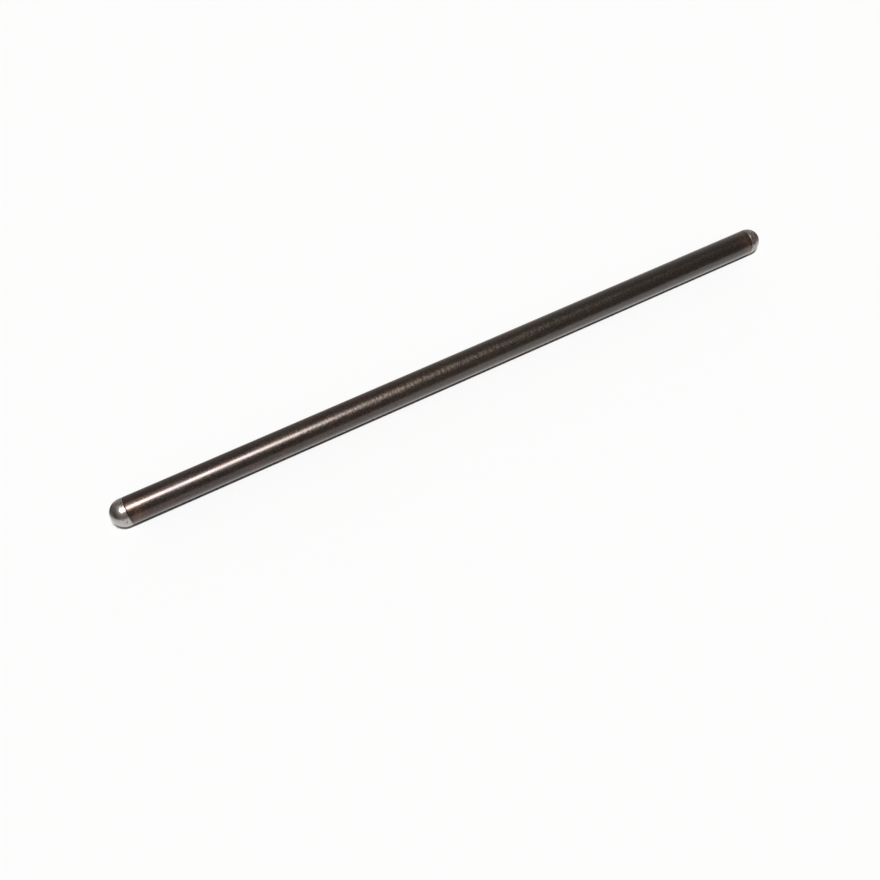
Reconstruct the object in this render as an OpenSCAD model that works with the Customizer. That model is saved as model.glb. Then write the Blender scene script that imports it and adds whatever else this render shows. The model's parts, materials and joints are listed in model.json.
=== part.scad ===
// Engine pushrod: a steel tube with a ball end fixed in each mouth, drilled along its axis for oil.
// The rod lies along X with its middle at the origin, and Z points up. Sizes are in millimetres.

/* [Rod] */
// Length over the two noses, 8.600 in
overall_length = 218.44; // [150:0.01:300]
// Outside diameter of the tube and of both ball ends, 5/16 in
rod_d = 7.94; // [6.35:0.01:11.11]
// Wall thickness of the tube
tube_wall = 1.65; // [1:0.05:2]

/* [Ball ends] */
// Straight land between the joint and the equator of the ball
land_length = 0.86; // [0.4:0.02:3]
// Diameter of the small flat on the nose
nose_flat_d = 2.5; // [2.1:0.1:3.5]
// Diameter of the oil drilling along the axis of each ball end
oil_hole_d = 1.6; // [0.8:0.1:2]
// Length of the spigot inside the tube
spigot_length = 7; // [3:0.5:20]

/* [Fits and edges] */
// Gap all round between the spigot and the bore of the tube
spigot_gap = 0.01; // [0:0.005:0.05]
// Chamfer on the two outer edges that meet at each joint
joint_chamfer = 0.15; // [0.05:0.05:0.4]
// Chamfer on the end of the spigot and in the mouths of the tube's bore
lead_chamfer = 0.4; // [0.1:0.05:0.8]
// Chamfer round the mouth of the oil drilling
mouth_chamfer = 0.2; // [0.05:0.05:0.3]

/* [Hidden] */
$fn = 128;

rod_r = rod_d / 2;
bore_r = rod_r - tube_wall;
spigot_r = bore_r - spigot_gap;
oil_hole_r = oil_hole_d / 2;

// Height of the nose flat above the equator of the ball, and above the joint
nose_rise = sqrt(rod_r * rod_r - pow(nose_flat_d / 2, 2));
nose_height = land_length + nose_rise;

// Distance from the middle of the rod to the joint at either end
joint_x = overall_length / 2 - nose_height;

// How far a cut runs past the face it starts from
cut_over = 1;

tube_colour = "#4f443b";
ball_colour = "#b9b6b1";

// Half section of the tube wall, with the axis of the rod upright
module tube_profile() {
    polygon([
        [bore_r, lead_chamfer - joint_x],
        [bore_r + lead_chamfer, -joint_x],
        [rod_r - joint_chamfer, -joint_x],
        [rod_r, joint_chamfer - joint_x],
        [rod_r, joint_x - joint_chamfer],
        [rod_r - joint_chamfer, joint_x],
        [bore_r + lead_chamfer, joint_x],
        [bore_r, joint_x - lead_chamfer]
    ]);
}

// Half section of the ball, from its equator to the flat on the nose
module ball_profile() {
    translate([0, land_length])
        intersection() {
            circle(r = rod_r);
            square([rod_r, nose_rise]);
        }
}

// Half section of the land, from the joint to the equator of the ball
module land_profile() {
    polygon([
        [0, 0],
        [rod_r - joint_chamfer, 0],
        [rod_r, joint_chamfer],
        [rod_r, land_length],
        [0, land_length]
    ]);
}

// Half section of the spigot, from its lead-in chamfer to the joint
module spigot_profile() {
    polygon([
        [0, -spigot_length],
        [spigot_r - lead_chamfer, -spigot_length],
        [spigot_r, lead_chamfer - spigot_length],
        [spigot_r, 0],
        [0, 0]
    ]);
}

// Half section of the oil drilling and its chamfered mouth
module oil_hole_profile() {
    polygon([
        [0, -spigot_length - cut_over],
        [oil_hole_r, -spigot_length - cut_over],
        [oil_hole_r, nose_height - mouth_chamfer],
        [oil_hole_r + mouth_chamfer + cut_over, nose_height + cut_over],
        [0, nose_height + cut_over]
    ]);
}

// Turned ball end on the joint plane, with its nose along +X
module ball_end() {
    color(ball_colour)
        rotate([0, 90, 0])
            rotate_extrude()
                difference() {
                    union() {
                        ball_profile();
                        land_profile();
                        spigot_profile();
                    }
                    oil_hole_profile();
                }
}

module tube() {
    color(tube_colour)
        rotate([0, 90, 0])
            rotate_extrude()
                tube_profile();
}

// Ball that sits in the cup of the valve lifter
module lifter_ball_end() {
    mirror([1, 0, 0])
        translate([joint_x, 0, 0])
            ball_end();
}

// Ball that sits in the cup of the rocker arm
module rocker_ball_end() {
    translate([joint_x, 0, 0])
        ball_end();
}

tube();
lifter_ball_end();
rocker_ball_end();
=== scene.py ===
"""Engine pushrod: a heat-darkened steel tube with a ground ball end in each mouth, on a pale stage.

The rod lies along X with its middle at the origin and Z up, in metres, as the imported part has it.
Every piece is a closed profile carried round the rod's axis.
"""

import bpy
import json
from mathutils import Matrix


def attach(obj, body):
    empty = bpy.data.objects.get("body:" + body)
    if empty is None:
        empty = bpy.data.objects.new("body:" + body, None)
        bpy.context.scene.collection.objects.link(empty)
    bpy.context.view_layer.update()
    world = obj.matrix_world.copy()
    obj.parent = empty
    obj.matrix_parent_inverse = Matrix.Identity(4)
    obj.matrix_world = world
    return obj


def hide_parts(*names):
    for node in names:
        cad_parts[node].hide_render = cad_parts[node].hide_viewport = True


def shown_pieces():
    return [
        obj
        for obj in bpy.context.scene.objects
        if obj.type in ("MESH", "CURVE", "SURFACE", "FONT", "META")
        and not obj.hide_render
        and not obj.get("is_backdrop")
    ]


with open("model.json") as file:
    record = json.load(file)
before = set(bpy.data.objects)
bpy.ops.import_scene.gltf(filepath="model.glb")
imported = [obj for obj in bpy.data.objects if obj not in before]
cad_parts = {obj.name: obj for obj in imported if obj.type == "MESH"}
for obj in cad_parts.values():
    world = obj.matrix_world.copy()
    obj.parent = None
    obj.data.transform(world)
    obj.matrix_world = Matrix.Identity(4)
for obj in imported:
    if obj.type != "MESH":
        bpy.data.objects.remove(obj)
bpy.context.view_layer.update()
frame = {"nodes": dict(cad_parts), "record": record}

import json
import math

import bpy
import numpy as np
from bpy.props import FloatProperty, FloatVectorProperty, IntProperty, PointerProperty

bl_info = {
    "name": "Engine Pushrod",
    "version": (1, 0, 0),
    "blender": (4, 5, 0),
    "location": "View3D > Sidebar > Pushrod",
    "description": "Builds a pushrod with a dark tube and two ground ball ends, and the stage it lies on",
    "category": "Add Mesh",
}

MM = 0.001


def node_rings(node):
    """Place along the axis and distance from it, as two arrays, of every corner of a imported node."""
    mesh = frame["nodes"][node].data
    corners = np.empty(len(mesh.vertices) * 3, dtype=np.float32)
    mesh.vertices.foreach_get("co", corners)
    corners = corners.reshape(-1, 3).astype(float)
    return corners[:, 0], np.hypot(corners[:, 1], corners[:, 2])


def mount(name):
    """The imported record's mount of that name."""
    return next(entry for entry in frame["record"]["mounts"] if entry["name"] == name)


TUBE_X, TUBE_RINGS = node_rings("tube")
BALL_X, BALL_RINGS = node_rings("rocker_ball_end")
ROD_RADIUS = mount("guide_diameter")["dims"]["r_mm"] * MM
OIL_RADIUS = mount("rocker_oil_hole")["dims"]["r_mm"] * MM
BALL_CENTRE = mount("rocker_ball")["pos_m"][0]
JOINT_AT = float(TUBE_X.max())
NOSE_AT = float(BALL_X.max())
SPIGOT_AT = float(BALL_X.min())
BORE_RADIUS = float(TUBE_RINGS.min())
SPIGOT_RADIUS = float(BALL_RINGS[BALL_X < (SPIGOT_AT + JOINT_AT) / 2].max())


class PushrodSizes(bpy.types.PropertyGroup):
    """Sizes of the rod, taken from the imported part"""

    rod_radius: FloatProperty(
        name="Rod radius", description="Outside radius of the tube and of both balls",
        default=ROD_RADIUS, min=0.002, precision=5, unit="LENGTH")
    bore_radius: FloatProperty(
        name="Bore radius", description="Inside radius of the tube",
        default=BORE_RADIUS, min=0.001, precision=5, unit="LENGTH")
    joint_at: FloatProperty(
        name="Joint", description="Distance from the rod's middle to the joint at either end",
        default=JOINT_AT, min=0.02, precision=5, unit="LENGTH")
    ball_centre: FloatProperty(
        name="Ball centre", description="Distance from the rod's middle to the centre of either ball",
        default=BALL_CENTRE, min=0.02, precision=5, unit="LENGTH")
    nose_at: FloatProperty(
        name="Nose", description="Distance from the rod's middle to the flat on either nose",
        default=NOSE_AT, min=0.02, precision=5, unit="LENGTH")
    spigot_radius: FloatProperty(
        name="Spigot radius", description="Outside radius of the spigot inside the tube",
        default=SPIGOT_RADIUS, min=0.001, precision=5, unit="LENGTH")
    spigot_at: FloatProperty(
        name="Spigot end", description="Distance from the rod's middle to the inner end of either spigot",
        default=SPIGOT_AT, min=0.01, precision=5, unit="LENGTH")
    oil_radius: FloatProperty(
        name="Oil hole radius", description="Radius of the oil drilling along each ball end",
        default=OIL_RADIUS, min=0.0002, precision=5, unit="LENGTH")
    joint_chamfer: FloatProperty(
        name="Joint chamfer", description="Chamfer on the two outer edges that meet at each joint",
        default=0.15 * MM, min=0.02 * MM, precision=5, unit="LENGTH")
    lead_chamfer: FloatProperty(
        name="Lead chamfer", description="Chamfer on the spigot's end and in the tube's mouths",
        default=0.4 * MM, min=0.05 * MM, precision=5, unit="LENGTH")
    mouth_chamfer: FloatProperty(
        name="Mouth chamfer", description="Chamfer round the mouth of the oil drilling",
        default=0.2 * MM, min=0.05 * MM, precision=5, unit="LENGTH")
    edge_reach: FloatProperty(
        name="Edge reach", description="How far the softening of an edge runs along its two sides",
        default=0.03 * MM, min=0.005 * MM, precision=5, unit="LENGTH")
    segments: IntProperty(
        name="Segments", description="Faces round the rod", default=160, min=24, max=400)


class PushrodFinish(bpy.types.PropertyGroup):
    """Colours and gloss of the two steels"""

    scale_plum: FloatVectorProperty(
        name="Scale plum", description="Reddish heat scale towards the lifter end",
        default=(0.075, 0.058, 0.055), size=3, min=0, max=1, subtype="COLOR")
    scale_brown: FloatVectorProperty(
        name="Scale brown", description="Main colour of the tube's heat scale",
        default=(0.080, 0.062, 0.053), size=3, min=0, max=1, subtype="COLOR")
    scale_olive: FloatVectorProperty(
        name="Scale olive", description="Greenish patches in the heat scale",
        default=(0.077, 0.065, 0.053), size=3, min=0, max=1, subtype="COLOR")
    scale_dark: FloatVectorProperty(
        name="Scale dark", description="Near-black heat scale towards the rocker end",
        default=(0.058, 0.049, 0.046), size=3, min=0, max=1, subtype="COLOR")
    scale_rust: FloatVectorProperty(
        name="Scale rust", description="Small rusty patches in the heat scale",
        default=(0.112, 0.068, 0.050), size=3, min=0, max=1, subtype="COLOR")
    scale_sage: FloatVectorProperty(
        name="Scale sage", description="Small grey-green patches in the heat scale",
        default=(0.064, 0.061, 0.052), size=3, min=0, max=1, subtype="COLOR")
    heat_tint: FloatVectorProperty(
        name="Heat tint", description="Brown that the welding heat left on the tube beside each joint",
        default=(0.195, 0.117, 0.085), size=3, min=0, max=1, subtype="COLOR")
    heat_reach: FloatProperty(
        name="Heat reach", description="How far the heat tint runs along the tube",
        default=5.0 * MM, min=0.5 * MM, unit="LENGTH")
    ball_steel: FloatVectorProperty(
        name="Ball steel", description="Colour of the ground steel of the ball ends",
        default=(0.475, 0.438, 0.418), size=3, min=0, max=1, subtype="COLOR")
    ball_stain: FloatVectorProperty(
        name="Ball stain", description="Colour of the small specks on the ball ends",
        default=(0.10, 0.085, 0.078), size=3, min=0, max=1, subtype="COLOR")
    tube_roughness: FloatProperty(
        name="Tube roughness", description="Mean roughness of the tube",
        default=0.34, min=0.05, max=1, subtype="FACTOR")
    oil_roughness: FloatProperty(
        name="Oil roughness", description="Roughness of the film of oil on the tube",
        default=0.18, min=0, max=1, subtype="FACTOR")
    ball_roughness: FloatProperty(
        name="Ball roughness", description="Mean roughness of the ball ends",
        default=0.27, min=0.05, max=1, subtype="FACTOR")


class PushrodStage(bpy.types.PropertyGroup):
    """Floor, lamps and camera"""

    floor_colour: FloatVectorProperty(
        name="Floor", description="Colour of the floor",
        default=(0.893, 0.899, 0.905), size=3, min=0, max=1, subtype="COLOR")
    ceiling_colour: FloatVectorProperty(
        name="Ceiling", description="Light that a band of the ceiling along the rod gives",
        default=(0.35, 0.32, 0.285), size=3, min=0, max=1, subtype="COLOR")
    room_colour: FloatVectorProperty(
        name="Room", description="Light that the upper room gives",
        default=(0.213, 0.188, 0.165), size=3, min=0, max=1, subtype="COLOR")
    front_colour: FloatVectorProperty(
        name="Front", description="Light that the front of the room gives near the floor",
        default=(0.185, 0.173, 0.169), size=3, min=0, max=1, subtype="COLOR")
    back_colour: FloatVectorProperty(
        name="Back", description="Light that the back of the room gives near the floor",
        default=(0.62, 0.59, 0.57), size=3, min=0, max=1, subtype="COLOR")
    side_colour: FloatVectorProperty(
        name="Sides", description="Light that the room's two sides give near the floor",
        default=(0.25, 0.22, 0.20), size=3, min=0, max=1, subtype="COLOR")
    corner_colour: FloatVectorProperty(
        name="Corner", description="Light that the back corner by the rocker end gives near the floor",
        default=(0.78, 0.74, 0.715), size=3, min=0, max=1, subtype="COLOR")
    dim_colour: FloatVectorProperty(
        name="Dim corner", description="Light that the back corner by the lifter end gives near the floor",
        default=(0.30, 0.30, 0.305), size=3, min=0, max=1, subtype="COLOR")
    matt_share: FloatProperty(
        name="Matt share", description="Share of the room's light that falls on matt surfaces",
        default=0.45, min=0, max=1, subtype="FACTOR")
    floor_light: FloatProperty(
        name="Floor light", description="Even light that the strip lamp gives the floor",
        default=3.01, min=0)
    strip_place: FloatVectorProperty(
        name="Strip place", description="Middle of the strip lamp that lights the floor",
        default=(-0.070, -0.1155, 0.36), size=3, subtype="TRANSLATION", unit="LENGTH")
    strip_length: FloatProperty(
        name="Strip length", description="Size of the strip along the rod, which softens the shadow's ends",
        default=0.065, min=0.001, unit="LENGTH")
    strip_width: FloatProperty(
        name="Strip width", description="Size of the strip across the rod, which softens the shadow's edge",
        default=0.013, min=0.001, unit="LENGTH")
    key_power: FloatProperty(
        name="Key power", description="Power of the soft box over the rod, in watts",
        default=15.0, min=0)
    key_place: FloatVectorProperty(
        name="Key place", description="Middle of the soft box",
        default=(-0.20, -0.225, 1.20), size=3, subtype="TRANSLATION", unit="LENGTH")
    key_width: FloatProperty(
        name="Key width", description="Size of the soft box along the rod", default=0.57, unit="LENGTH")
    key_depth: FloatProperty(
        name="Key depth", description="Size of the soft box across the rod", default=0.45, unit="LENGTH")
    side_power: FloatProperty(
        name="Side power", description="Power of the soft box behind the lifter end, in watts",
        default=0.70, min=0)
    side_place: FloatVectorProperty(
        name="Side place", description="Middle of the soft box behind the lifter end",
        default=(-0.48, 0.45, 1.20), size=3, subtype="TRANSLATION", unit="LENGTH")
    side_width: FloatProperty(
        name="Side width", description="Size along the rod of the soft box behind the lifter end",
        default=0.56, unit="LENGTH")
    side_depth: FloatProperty(
        name="Side depth", description="Size across the rod of the soft box behind the lifter end",
        default=0.26, unit="LENGTH")
    camera_place: FloatVectorProperty(
        name="Camera place", description="Where the camera stands",
        default=(-0.079823, -0.130763, 0.202475), size=3, subtype="TRANSLATION", unit="LENGTH")
    camera_turn: FloatVectorProperty(
        name="Camera turn", description="How the camera is turned",
        default=(math.radians(31.8491), 0.0, math.radians(-28.2803)), size=3, subtype="EULER")
    camera_lens: FloatProperty(
        name="Lens", description="Focal length in millimetres on a 36 mm wide sensor",
        default=34.5254, min=1)


class PushrodSettings(bpy.types.PropertyGroup):
    """All that a user can set on the pushrod"""

    sizes: PointerProperty(type=PushrodSizes)
    finish: PointerProperty(type=PushrodFinish)
    stage: PointerProperty(type=PushrodStage)


# Steps of the meshes
EDGE_STEPS = 5
TUBE_RINGS_ALONG = 120
BALL_ARC_STEPS = 48

# How many edge reaches the ball's arc stops short of the nose flat
ARC_CLEAR = 3

# Heights of the tube's bumps and of the grinding lines on the balls, and how strongly those lines show
WAVE_HEIGHT = 0.11 * MM
GRAIN_HEIGHT = 0.080 * MM
RIPPLE_HEIGHT = 0.024 * MM
LINE_HEIGHT = 0.1 * MM
LINE_STRENGTH = 0.06

# Floor and camera
FLOOR_HALF = 4.0
FLOOR_LINES = 9
SENSOR_WIDTH = 36.0
CLIP_START = 0.01


def soft_corners(corners, before, after, reach):
    """Corners of a profile, each softened by a parabola with a ring of support on either side.

    With C a corner, P and Q the points `reach` from it along its two sides and s from 0 to 1, the
    parabola is (1-s)^2 P + 2 s (1-s) C + s^2 Q. The support points lie as far again along the sides.
    Returns an array of corner, step and coordinate.
    """
    back = before - corners
    back /= np.linalg.norm(back, axis=1, keepdims=True)
    ahead = after - corners
    ahead /= np.linalg.norm(ahead, axis=1, keepdims=True)
    start = (corners + back * reach)[:, None]
    end = (corners + ahead * reach)[:, None]
    s = np.linspace(0, 1, EDGE_STEPS)[None, :, None]
    parabola = (1 - s) ** 2 * start + 2 * s * (1 - s) * corners[:, None] + s ** 2 * end
    return np.concatenate([
        (corners + back * reach * 2)[:, None], parabola, (corners + ahead * reach * 2)[:, None]], axis=1)


def lathe(name, profile, segments):
    """Mesh of a closed profile carried round the X axis.

    The profile's point (x, r) at the turn a goes to (x, r cos a, r sin a). The profile runs so that
    the metal lies on its right with r drawn upwards, which turns the faces outwards.
    """
    turn = np.linspace(0, 2 * np.pi, segments, endpoint=False)
    x, r = profile[:, :1], profile[:, 1:]
    points = np.stack(np.broadcast_arrays(x, r * np.cos(turn), r * np.sin(turn)), axis=-1)
    index = np.arange(points.shape[0] * segments).reshape(points.shape[0], segments)
    ahead = np.roll(index, -1, axis=0)
    quads = np.stack(
        [index, np.roll(index, -1, axis=1), np.roll(ahead, -1, axis=1), ahead], axis=-1).reshape(-1, 4)
    mesh = bpy.data.meshes.new(name)
    mesh.vertices.add(index.size)
    mesh.vertices.foreach_set("co", points.astype(np.float32).ravel())
    mesh.loops.add(quads.size)
    mesh.loops.foreach_set("vertex_index", quads.astype(np.int32).ravel())
    mesh.polygons.add(len(quads))
    mesh.polygons.foreach_set("loop_start", np.arange(0, quads.size, 4, dtype=np.int32))
    mesh.update(calc_edges=True)
    if mesh.validate():
        raise RuntimeError(name + " has faces that Blender had to mend")
    mesh.shade_smooth()
    return mesh


def tube_profile(sizes):
    """Loop round the tube's wall: outer face, one mouth, bore, the other mouth."""
    mouth = sizes.bore_radius + sizes.lead_chamfer
    lip = sizes.rod_radius - sizes.joint_chamfer
    end = sizes.joint_at
    corners = np.array([
        (sizes.joint_chamfer - end, sizes.rod_radius),
        (end - sizes.joint_chamfer, sizes.rod_radius),
        (end, lip),
        (end, mouth),
        (end - sizes.lead_chamfer, sizes.bore_radius),
        (sizes.lead_chamfer - end, sizes.bore_radius),
        (-end, mouth),
        (-end, lip),
    ])
    soft = soft_corners(
        corners, np.roll(corners, 1, axis=0), np.roll(corners, -1, axis=0), sizes.edge_reach)
    along = np.linspace(corners[0, 0], corners[1, 0], TUBE_RINGS_ALONG + 2)[1:-1]
    outside = np.column_stack([along, np.full_like(along, sizes.rod_radius)])
    return np.concatenate([soft[0], outside, soft[1:].reshape(-1, 2)])


def ball_end_profile(sizes):
    """Loop round half a section of a ball end: spigot, shoulder, land, ball, nose flat and drilling.

    The ball's arc is (ball centre + r sin s, r cos s), with s from 0 at the equator to the nose flat.
    """
    r = sizes.rod_radius
    rise = sizes.nose_at - sizes.ball_centre
    flat_s = math.asin(rise / r)
    flat_r = r * math.cos(flat_s)
    corners = np.array([
        (sizes.spigot_at, sizes.oil_radius),
        (sizes.spigot_at, sizes.spigot_radius - sizes.lead_chamfer),
        (sizes.spigot_at + sizes.lead_chamfer, sizes.spigot_radius),
        (sizes.joint_at, sizes.spigot_radius),
        (sizes.joint_at, r - sizes.joint_chamfer),
        (sizes.joint_at + sizes.joint_chamfer, r),
        (sizes.nose_at, flat_r),
        (sizes.nose_at, sizes.oil_radius + sizes.mouth_chamfer),
        (sizes.nose_at - sizes.mouth_chamfer, sizes.oil_radius),
    ])
    land_edge, nose_edge = 5, 6
    before = np.roll(corners, 1, axis=0)
    after = np.roll(corners, -1, axis=0)
    after[land_edge] = corners[land_edge] + (1, 0)
    before[nose_edge] = corners[nose_edge] + (-math.cos(flat_s), math.sin(flat_s))
    soft = soft_corners(corners, before, after, sizes.edge_reach)
    s = np.linspace(0, flat_s - ARC_CLEAR * sizes.edge_reach / r, BALL_ARC_STEPS)
    arc = np.column_stack([sizes.ball_centre + r * np.sin(s), r * np.cos(s)])
    return np.concatenate([soft[:nose_edge].reshape(-1, 2), arc, soft[nose_edge:].reshape(-1, 2)])


def new_material(name):
    """Empty node material; returns it, its node tree and its Principled shader."""
    material = bpy.data.materials.new(name)
    material.use_nodes = True
    tree = material.node_tree
    return material, tree, tree.nodes["Principled BSDF"]


def add_node(tree, kind, inputs=None, **settings):
    """New node with its settings and inputs; an input that is a socket is linked, any other is set."""
    node = tree.nodes.new(kind)
    for key, value in settings.items():
        setattr(node, key, value)
    for key, value in (inputs or {}).items():
        if isinstance(value, bpy.types.NodeSocket):
            tree.links.new(value, node.inputs[key])
        else:
            node.inputs[key].default_value = value
    return node


def math_node(tree, operation, first, second=0.0, clamp=False):
    """Output of a Math node on two values or sockets."""
    return add_node(
        tree, "ShaderNodeMath", {0: first, 1: second}, operation=operation, use_clamp=clamp).outputs[0]


def product(tree, *values):
    """Output of Math nodes that multiply all the values and sockets."""
    result = values[0]
    for value in values[1:]:
        result = math_node(tree, "MULTIPLY", result, value)
    return result


def total(tree, *values):
    """Output of Math nodes that add all the values and sockets."""
    result = values[0]
    for value in values[1:]:
        result = math_node(tree, "ADD", result, value)
    return result


def swing(tree, noise, reach):
    """Noise moved to swing about zero, times reach."""
    return product(tree, math_node(tree, "SUBTRACT", noise, 0.5), reach)


def noise_on(tree, place, spread, detail=2.0, roughness=0.5):
    """Noise whose grain is 1/spread metres along X, Y and Z; the value lies about 0.5."""
    stretched = add_node(
        tree, "ShaderNodeVectorMath", {0: place, 1: spread}, operation="MULTIPLY").outputs[0]
    return add_node(tree, "ShaderNodeTexNoise", {
        "Vector": stretched, "Scale": 1.0, "Detail": detail, "Roughness": roughness}).outputs["Fac"]


def ramp_on(tree, value, low, high, to_low=0.0, to_high=1.0):
    """Smooth step of a value from low..high to to_low..to_high."""
    return add_node(tree, "ShaderNodeMapRange", {
        "Value": value, "From Min": low, "From Max": high, "To Min": to_low, "To Max": to_high},
        interpolation_type="SMOOTHSTEP").outputs["Result"]


def blend_colours(tree, share, first, second):
    """Colour that goes from first to second as share goes from 0 to 1."""
    mix = add_node(tree, "ShaderNodeMix", data_type="RGBA")
    for socket, value in (("Factor_Float", share), ("A_Color", first), ("B_Color", second)):
        target = next(item for item in mix.inputs if item.identifier == socket)
        if isinstance(value, bpy.types.NodeSocket):
            tree.links.new(value, target)
        else:
            target.default_value = value
    return next(item for item in mix.outputs if item.identifier == "Result_Color")


def colour_stops(tree, value, stops):
    """Colour ramp through stops of place and colour."""
    ramp = add_node(tree, "ShaderNodeValToRGB", {"Fac": value})
    elements = ramp.color_ramp.elements
    for _ in stops[2:]:
        elements.new(1.0)
    for element, (at, colour) in zip(elements, stops):
        element.position = at
        element.color = rgba(colour)
    return ramp.outputs["Color"]


def rgba(colour):
    """Colour property with full opacity."""
    return (*colour, 1.0)


def grey(level):
    """Grey of that level with full opacity."""
    return (level, level, level, 1.0)


def object_axes(tree):
    """Place on the piece as a vector, and its X, Y and Z."""
    place = add_node(tree, "ShaderNodeTexCoord").outputs["Object"]
    return place, add_node(tree, "ShaderNodeSeparateXYZ", {0: place}).outputs


def scale_colour(tree, place, along, joint, finish, patches):
    """Colour of the heat scale: plum at the lifter end to near-black at the rocker end.

    The patches push the stops to and fro along the rod, and rusty and grey-green patches lie over them.
    """
    run = add_node(tree, "ShaderNodeMapRange", {
        "Value": along, "From Min": -joint, "From Max": joint}).outputs["Result"]
    at = math_node(tree, "ADD", run, swing(tree, patches, 1.5), clamp=True)
    colour = colour_stops(tree, at, (
        (0.10, finish.scale_plum), (0.36, finish.scale_brown),
        (0.60, finish.scale_olive), (0.92, finish.scale_dark)))
    tints = noise_on(tree, place, (190, 620, 620), detail=3.0, roughness=0.6)
    rusty = ramp_on(tree, tints, 0.53, 0.66, 0.0, 0.45)
    sage = ramp_on(tree, tints, 0.34, 0.47, 0.45, 0.0)
    colour = blend_colours(tree, rusty, colour, rgba(finish.scale_rust))
    return blend_colours(tree, sage, colour, rgba(finish.scale_sage))


def heat_share(tree, place, axes, sizes, reach, mottle):
    """How far the heat tint covers the scale.

    It is a ragged smooth step towards each joint, which falls again right at the joint. It is patchy,
    strongest on the upper front, and weaker on the top, on the back and low on the front.
    """
    r, joint = sizes.rod_radius, sizes.joint_at
    from_middle = math_node(tree, "ABSOLUTE", axes["X"])
    drift = noise_on(tree, place, (60, 260, 260))
    warmed = total(tree, from_middle, swing(tree, drift, 10.0 * MM))
    return product(
        tree,
        ramp_on(tree, warmed, joint - reach, joint - 1.2 * MM, 0.0, 0.7),
        ramp_on(tree, from_middle, joint - 1.4 * MM, joint, 1.0, 0.35),
        ramp_on(tree, axes["Y"], 0.0, 0.5 * r, 1.0, 0.4),
        ramp_on(tree, axes["Y"], -0.62 * r, -0.45 * r, 1.25, 0.65),
        ramp_on(tree, axes["Z"], 0.35 * r, 0.75 * r, 0.4, 1.0),
        ramp_on(tree, mottle, 0.38, 0.62, 0.5, 1.3))


def oil_film(tree, axes, sizes, oiled):
    """Weight of the oil film: thick where it is oiled and thin elsewhere, and more towards the rocker end.

    By the lifter end a band low on the front is wiped thinner.
    """
    r, joint = sizes.rod_radius, sizes.joint_at
    along, up = axes["X"], axes["Z"]
    thin = ramp_on(tree, along, -0.6 * joint, 0.5 * joint, 0.20, 0.50)
    thick = ramp_on(tree, along, -joint, 0.0, 0.64, 0.77)
    film = total(tree, thin, product(tree, oiled, math_node(tree, "SUBTRACT", thick, thin)))
    wiped = ramp_on(tree, along, -0.7 * joint, 0.1 * joint, 0.5, 1.0)
    for kept in (ramp_on(tree, up, 0.25 * r, 0.6 * r), ramp_on(tree, up, 0.0, 0.3 * r, 1.0, 0.0)):
        wiped = math_node(tree, "MAXIMUM", wiped, kept)
    return product(tree, film, wiped)


def tube_material(sizes, finish):
    """Heat-darkened steel: patchy scale with fine flecks, and a brown heat tint beside each joint.

    The grain is worn smooth towards the lifter end, and a film of oil lies over the front.
    """
    material, tree, shader = new_material("Dark tube steel")
    joint = sizes.joint_at
    place, axes = object_axes(tree)
    along = axes["X"]
    patches = noise_on(tree, place, (95, 430, 430), detail=3.0, roughness=0.55)
    mottle = noise_on(tree, place, (850, 500, 500))
    ripples = noise_on(tree, place, (1700, 1100, 1100), detail=3.0, roughness=0.6)
    flecks = noise_on(tree, place, (1700, 3000, 3000), detail=3.0, roughness=0.6)
    waves = noise_on(tree, place, (110, 40, 40))
    ring = ramp_on(tree, math_node(tree, "ABSOLUTE", along), joint - 1.2 * MM, joint, 1.0, 0.82)

    colour = scale_colour(tree, place, along, joint, finish, patches)
    heat = heat_share(tree, place, axes, sizes, finish.heat_reach, mottle)
    colour = blend_colours(tree, heat, colour, rgba(finish.heat_tint))
    dust = product(tree, ramp_on(tree, flecks, 0.35, 0.70, 0.74, 1.30), ring)
    colour = add_node(
        tree, "ShaderNodeVectorMath", {0: colour, 1: dust}, operation="MULTIPLY").outputs[0]
    tree.links.new(colour, shader.inputs["Base Color"])

    roughness = total(
        tree, ramp_on(tree, patches, 0.3, 0.7, -0.04, 0.04),
        ramp_on(tree, flecks, 0.3, 0.7, -0.06, 0.06), finish.tube_roughness)
    tree.links.new(roughness, shader.inputs["Roughness"])

    grain = total(tree, product(tree, mottle, GRAIN_HEIGHT), product(tree, ripples, RIPPLE_HEIGHT))
    worn = ramp_on(tree, along, -0.7 * joint, -0.25 * joint, 0.15, 1.0)
    height = total(tree, product(tree, waves, WAVE_HEIGHT), product(tree, grain, worn))
    bump = add_node(tree, "ShaderNodeBump", {"Strength": 1.0, "Distance": 1.0, "Height": height})
    tree.links.new(bump.outputs["Normal"], shader.inputs["Normal"])

    oiled = ramp_on(tree, axes["Y"], 0.0, 0.5 * sizes.rod_radius, 1.0, 0.0)
    film = product(tree, oil_film(tree, axes, sizes, oiled), ring)
    tree.links.new(film, shader.inputs["Coat Weight"])
    # painted shade in the reflection: the oiled front share also sets the edge tint, lower on the back, so
    # the gleam of the back edges is painted dimmer
    edge = blend_colours(tree, oiled, grey(0.52), grey(0.9))
    tree.links.new(edge, shader.inputs["Specular Tint"])
    shader.inputs["Metallic"].default_value = 1.0
    shader.inputs["Coat Roughness"].default_value = finish.oil_roughness
    return material


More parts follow.
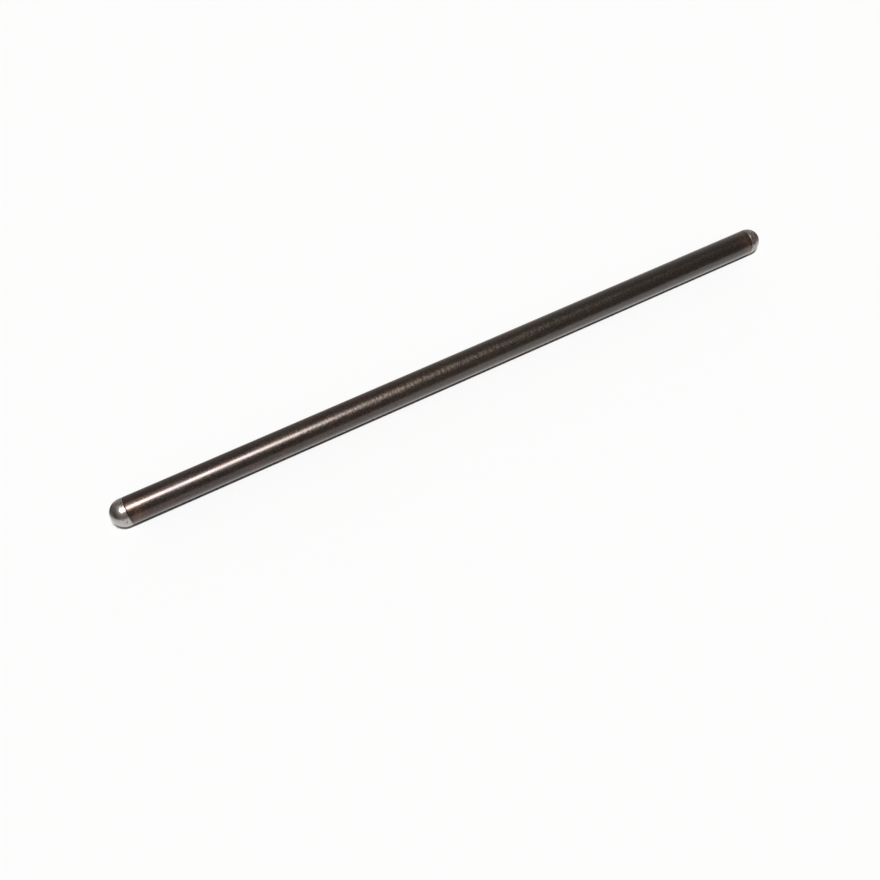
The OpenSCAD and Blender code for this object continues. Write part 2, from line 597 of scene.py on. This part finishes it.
def ball_material(sizes, finish):
    """Ground steel: fine lines round the axis, faint clouds, and small dark specks by the joint.

    Painted shade darkens it on the back, a little at the rocker end, and most on the outer upper
    shoulder, whose turned-away edges also get a painted dimmer gleam. It is a little duller by the joints.
    """
    material, tree, shader = new_material("Bright ball steel")
    r, joint, centre = sizes.rod_radius, sizes.joint_at, sizes.ball_centre
    place, axes = object_axes(tree)
    lines = noise_on(tree, place, (14000, 250, 250))
    clouds = noise_on(tree, place, (420, 420, 420))
    marks = noise_on(tree, place, (2200, 2200, 2200), detail=1.0)
    out = math_node(tree, "ABSOLUTE", axes["X"])
    outer = ramp_on(tree, out, centre + 0.15 * r, centre + 0.65 * r)
    upper = ramp_on(tree, axes["Z"], 0.42 * r, 0.62 * r, 0.0, 0.7)

    cloudy = ramp_on(tree, clouds, 0.35, 0.65, 0.90, 1.02)
    lined = ramp_on(tree, lines, 0.3, 0.7, -0.04, 0.04)
    shade = product(
        tree,
        total(tree, cloudy, lined),
        # painted shade: the colour darkens towards the back
        ramp_on(tree, axes["Y"], 0.0, 0.6 * r, 1.0, 0.65),
        # painted shade: the colour is a little darker at the rocker end
        ramp_on(tree, axes["X"], -joint, joint, 1.0, 0.88),
        ramp_on(tree, out, joint, joint + 1.6 * MM, 0.94, 1.0),
        # painted shade: the colour is darkest on the outer upper shoulder
        math_node(tree, "SUBTRACT", 1.0, product(tree, outer, upper)))
    colour = add_node(
        tree, "ShaderNodeVectorMath", {0: tuple(finish.ball_steel), 1: shade},
        operation="MULTIPLY").outputs[0]
    by_joint = ramp_on(tree, out, joint + 0.8 * MM, joint + 2.6 * MM, 1.0, 0.0)
    specks = product(tree, ramp_on(tree, marks, 0.58, 0.64), by_joint)
    colour = blend_colours(tree, specks, colour, rgba(finish.ball_stain))
    tree.links.new(colour, shader.inputs["Base Color"])

    roughness = total(
        tree, ramp_on(tree, lines, 0.3, 0.7, -0.03, 0.03),
        ramp_on(tree, clouds, 0.35, 0.65, -0.02, 0.03), finish.ball_roughness)
    tree.links.new(roughness, shader.inputs["Roughness"])

    bump = add_node(tree, "ShaderNodeBump", {
        "Strength": LINE_STRENGTH, "Distance": LINE_HEIGHT, "Height": lines})
    tree.links.new(bump.outputs["Normal"], shader.inputs["Normal"])

    # painted shade in the reflection: the edge tint is full underneath and lowest on the outer upper
    # shoulder, so the gleam of the upper edges is painted dimmer
    under = ramp_on(tree, axes["Z"], 0.35 * r, 0.55 * r, 1.0, 0.0)
    inner = product(tree, math_node(tree, "SUBTRACT", 1.0, outer), 0.5)
    edge = blend_colours(tree, math_node(tree, "MAXIMUM", under, inner), grey(0.25), grey(1.0))
    tree.links.new(edge, shader.inputs["Specular Tint"])
    shader.inputs["Metallic"].default_value = 1.0
    return material


def add_piece(name, mesh, material, node):
    """Object at the origin with that mesh and material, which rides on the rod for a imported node."""
    mesh.materials.append(material)
    piece = bpy.data.objects.new(name, mesh)
    bpy.context.scene.collection.objects.link(piece)
    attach(piece, "root")
    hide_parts(node)
    return piece


class PUSHROD_OT_tube(bpy.types.Operator):
    """Build the dark tube"""

    bl_idname = "pushrod.tube"
    bl_label = "Tube"

    def execute(self, context):
        settings = context.scene.pushrod
        sizes = settings.sizes
        mesh = lathe("tube_wall", tube_profile(sizes), sizes.segments)
        add_piece("tube_wall", mesh, tube_material(sizes, settings.finish), "tube")
        return {"FINISHED"}


class PUSHROD_OT_ball_ends(bpy.types.Operator):
    """Build the two ground ball ends"""

    bl_idname = "pushrod.ball_ends"
    bl_label = "Ball Ends"

    def execute(self, context):
        settings = context.scene.pushrod
        sizes = settings.sizes
        profile = ball_end_profile(sizes)
        material = ball_material(sizes, settings.finish)
        mirrored = profile[::-1] * (-1, 1)
        for node, loop in (("rocker_ball_end", profile), ("lifter_ball_end", mirrored)):
            name = node.replace("_end", "")
            add_piece(name, lathe(name, loop, sizes.segments), material, node)
        return {"FINISHED"}


def floor_mesh(level):
    """Flat square on a grid of two parameters u and v: (u, v, level)."""
    side = np.linspace(-FLOOR_HALF, FLOOR_HALF, FLOOR_LINES)
    u, v = np.meshgrid(side, side)
    points = np.stack([u, v, np.full_like(u, level)], axis=-1).reshape(-1, 3)
    index = np.arange(u.size).reshape(u.shape)
    quads = np.stack(
        [index[:-1, :-1], index[:-1, 1:], index[1:, 1:], index[1:, :-1]], axis=-1).reshape(-1, 4)
    mesh = bpy.data.meshes.new("floor")
    mesh.from_pydata(points.tolist(), [], quads.tolist())
    mesh.update()
    return mesh


def floor_material(stage):
    """Plain pale floor."""
    material, tree, shader = new_material("Pale floor")
    diffuse = add_node(tree, "ShaderNodeBsdfDiffuse", {"Color": rgba(stage.floor_colour)}).outputs[0]
    tree.links.new(diffuse, tree.nodes["Material Output"].inputs["Surface"])
    tree.nodes.remove(shader)
    return material


def light_room(scene, stage):
    """World that is dim above and lighter near the floor, at the back most and at the front least.

    The share of the upper room is a smooth step of a direction's height, to which the front adds a little.
    Near the floor, the back has a lighter corner by the rocker end and a dimmer one by the lifter end.
    Above, a band along the rod is lighter. Matt surfaces get a smaller share of all of it.
    """
    world = bpy.data.worlds.new("Studio room")
    world.use_nodes = True
    tree = world.node_tree
    background = tree.nodes["Background"]
    toward = add_node(tree, "ShaderNodeTexCoord").outputs["Generated"]
    axes = add_node(tree, "ShaderNodeSeparateXYZ", {0: toward}).outputs
    aside, back, up = axes["X"], axes["Y"], axes["Z"]

    low = colour_stops(tree, total(tree, product(tree, back, 0.5), 0.5), (
        (0.0, stage.front_colour), (0.5, stage.side_colour), (1.0, stage.back_colour)))
    corner = product(tree, ramp_on(tree, aside, 0.25, 0.65), ramp_on(tree, back, 0.2, 0.6))
    low = blend_colours(tree, corner, low, rgba(stage.corner_colour))
    dim = product(tree, ramp_on(tree, aside, -0.36, -0.06, 1.0, 0.0), ramp_on(tree, back, 0.45, 0.85))
    low = blend_colours(tree, dim, low, rgba(stage.dim_colour))

    off_band = math_node(tree, "ABSOLUTE", total(tree, back, 0.05))
    band = product(tree, ramp_on(tree, off_band, 0.0, 0.22, 1.0, 0.0), ramp_on(tree, up, 0.2, 0.6))
    high = blend_colours(tree, band, rgba(stage.room_colour), rgba(stage.ceiling_colour))

    front = math_node(tree, "MAXIMUM", product(tree, back, -0.4), 0.0)
    share = ramp_on(tree, total(tree, up, front), 0.02, 0.90)
    tree.links.new(blend_colours(tree, share, low, high), background.inputs["Color"])
    matt = add_node(tree, "ShaderNodeLightPath").outputs["Is Diffuse Ray"]
    strength = ramp_on(tree, matt, 0.0, 1.0, 1.0, stage.matt_share)
    tree.links.new(strength, background.inputs["Strength"])
    scene.world = world


def add_lamp(scene, name, place, along, across, power, receivers):
    """Rectangular lamp that faces down and lights the receivers alone; returns the lamp's data."""
    lamp = bpy.data.lights.new(name, "AREA")
    lamp.shape = "RECTANGLE"
    lamp.size = along
    lamp.size_y = across
    lamp.energy = power
    holder = bpy.data.objects.new(name, lamp)
    holder.location = place
    scene.collection.objects.link(holder)
    lit = bpy.data.collections.new(name + "_receivers")
    for item in receivers:
        lit.objects.link(item)
    holder.light_linking.receiver_collection = lit
    return lamp


def add_lamps(scene, stage, floor):
    """Two soft boxes for the rod, and a strip lamp for the floor that leaves a thin line of shadow.

    The strip is close, so that the shadow spreads to both ends, and yet lights the floor evenly: its
    strength grows with the square of the distance, as the slant at the strip and at the floor takes away.
    """
    add_lamp(scene, "key_box", stage.key_place, stage.key_width, stage.key_depth,
             stage.key_power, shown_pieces())
    add_lamp(scene, "side_box", stage.side_place, stage.side_width, stage.side_depth,
             stage.side_power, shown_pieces())
    strip = add_lamp(scene, "strip_lamp", stage.strip_place, stage.strip_length, stage.strip_width,
                     math.pi * stage.floor_light, [floor])
    strip.use_nodes = True
    tree = strip.node_tree
    far = add_node(tree, "ShaderNodeLightPath").outputs["Ray Length"]
    slant = math_node(tree, "DIVIDE", far, stage.strip_place[2])
    slant = math_node(tree, "MULTIPLY", slant, slant)
    even = add_node(tree, "ShaderNodeLightFalloff", {"Strength": slant}).outputs["Constant"]
    tree.links.new(even, tree.nodes["Emission"].inputs["Strength"])


def add_camera(scene, stage):
    """Camera at the photograph's place, found by fitting the rod's outline."""
    lens = bpy.data.cameras.new("camera")
    lens.sensor_width = SENSOR_WIDTH
    lens.lens = stage.camera_lens
    lens.clip_start = CLIP_START
    camera = bpy.data.objects.new("camera", lens)
    camera.location = stage.camera_place
    camera.rotation_euler = stage.camera_turn
    scene.collection.objects.link(camera)
    scene.camera = camera


class PUSHROD_OT_stage(bpy.types.Operator):
    """Set out the floor, the lamps and the camera"""

    bl_idname = "pushrod.stage"
    bl_label = "Stage"

    def execute(self, context):
        scene = context.scene
        settings = scene.pushrod
        sizes, stage = settings.sizes, settings.stage
        mesh = floor_mesh(-sizes.rod_radius)
        mesh.materials.append(floor_material(stage))
        floor = bpy.data.objects.new("floor", mesh)
        scene.collection.objects.link(floor)
        floor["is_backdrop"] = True
        light_room(scene, stage)
        add_lamps(scene, stage, floor)
        add_camera(scene, stage)
        scene.view_settings.view_transform = "Standard"
        return {"FINISHED"}


class PUSHROD_PT_panel(bpy.types.Panel):
    """Sizes, finishes and stage of the pushrod, and the operators that build it"""

    bl_idname = "PUSHROD_PT_panel"
    bl_label = "Engine Pushrod"
    bl_space_type = "VIEW_3D"
    bl_region_type = "UI"
    bl_category = "Pushrod"

    def draw(self, context):
        settings = context.scene.pushrod
        for operator, group in (
                (PUSHROD_OT_tube, settings.sizes),
                (PUSHROD_OT_ball_ends, settings.finish),
                (PUSHROD_OT_stage, settings.stage)):
            box = self.layout.box()
            box.operator(operator.bl_idname)
            for name in group.__annotations__:
                box.prop(group, name)


CLASSES = (
    PushrodSizes,
    PushrodFinish,
    PushrodStage,
    PushrodSettings,
    PUSHROD_OT_tube,
    PUSHROD_OT_ball_ends,
    PUSHROD_OT_stage,
    PUSHROD_PT_panel,
)


def register():
    """Register the classes and hang the settings on the scene."""
    for cls in CLASSES:
        bpy.utils.register_class(cls)
    bpy.types.Scene.pushrod = PointerProperty(type=PushrodSettings)


def unregister():
    """Take the settings off the scene and unregister the classes."""
    del bpy.types.Scene.pushrod
    for cls in reversed(CLASSES):
        bpy.utils.unregister_class(cls)


def main():
    """Build the pieces in order, then the stage."""
    register()
    bpy.ops.pushrod.tube()
    bpy.ops.pushrod.ball_ends()
    bpy.ops.pushrod.stage()


if __name__ == "__main__":
    main()
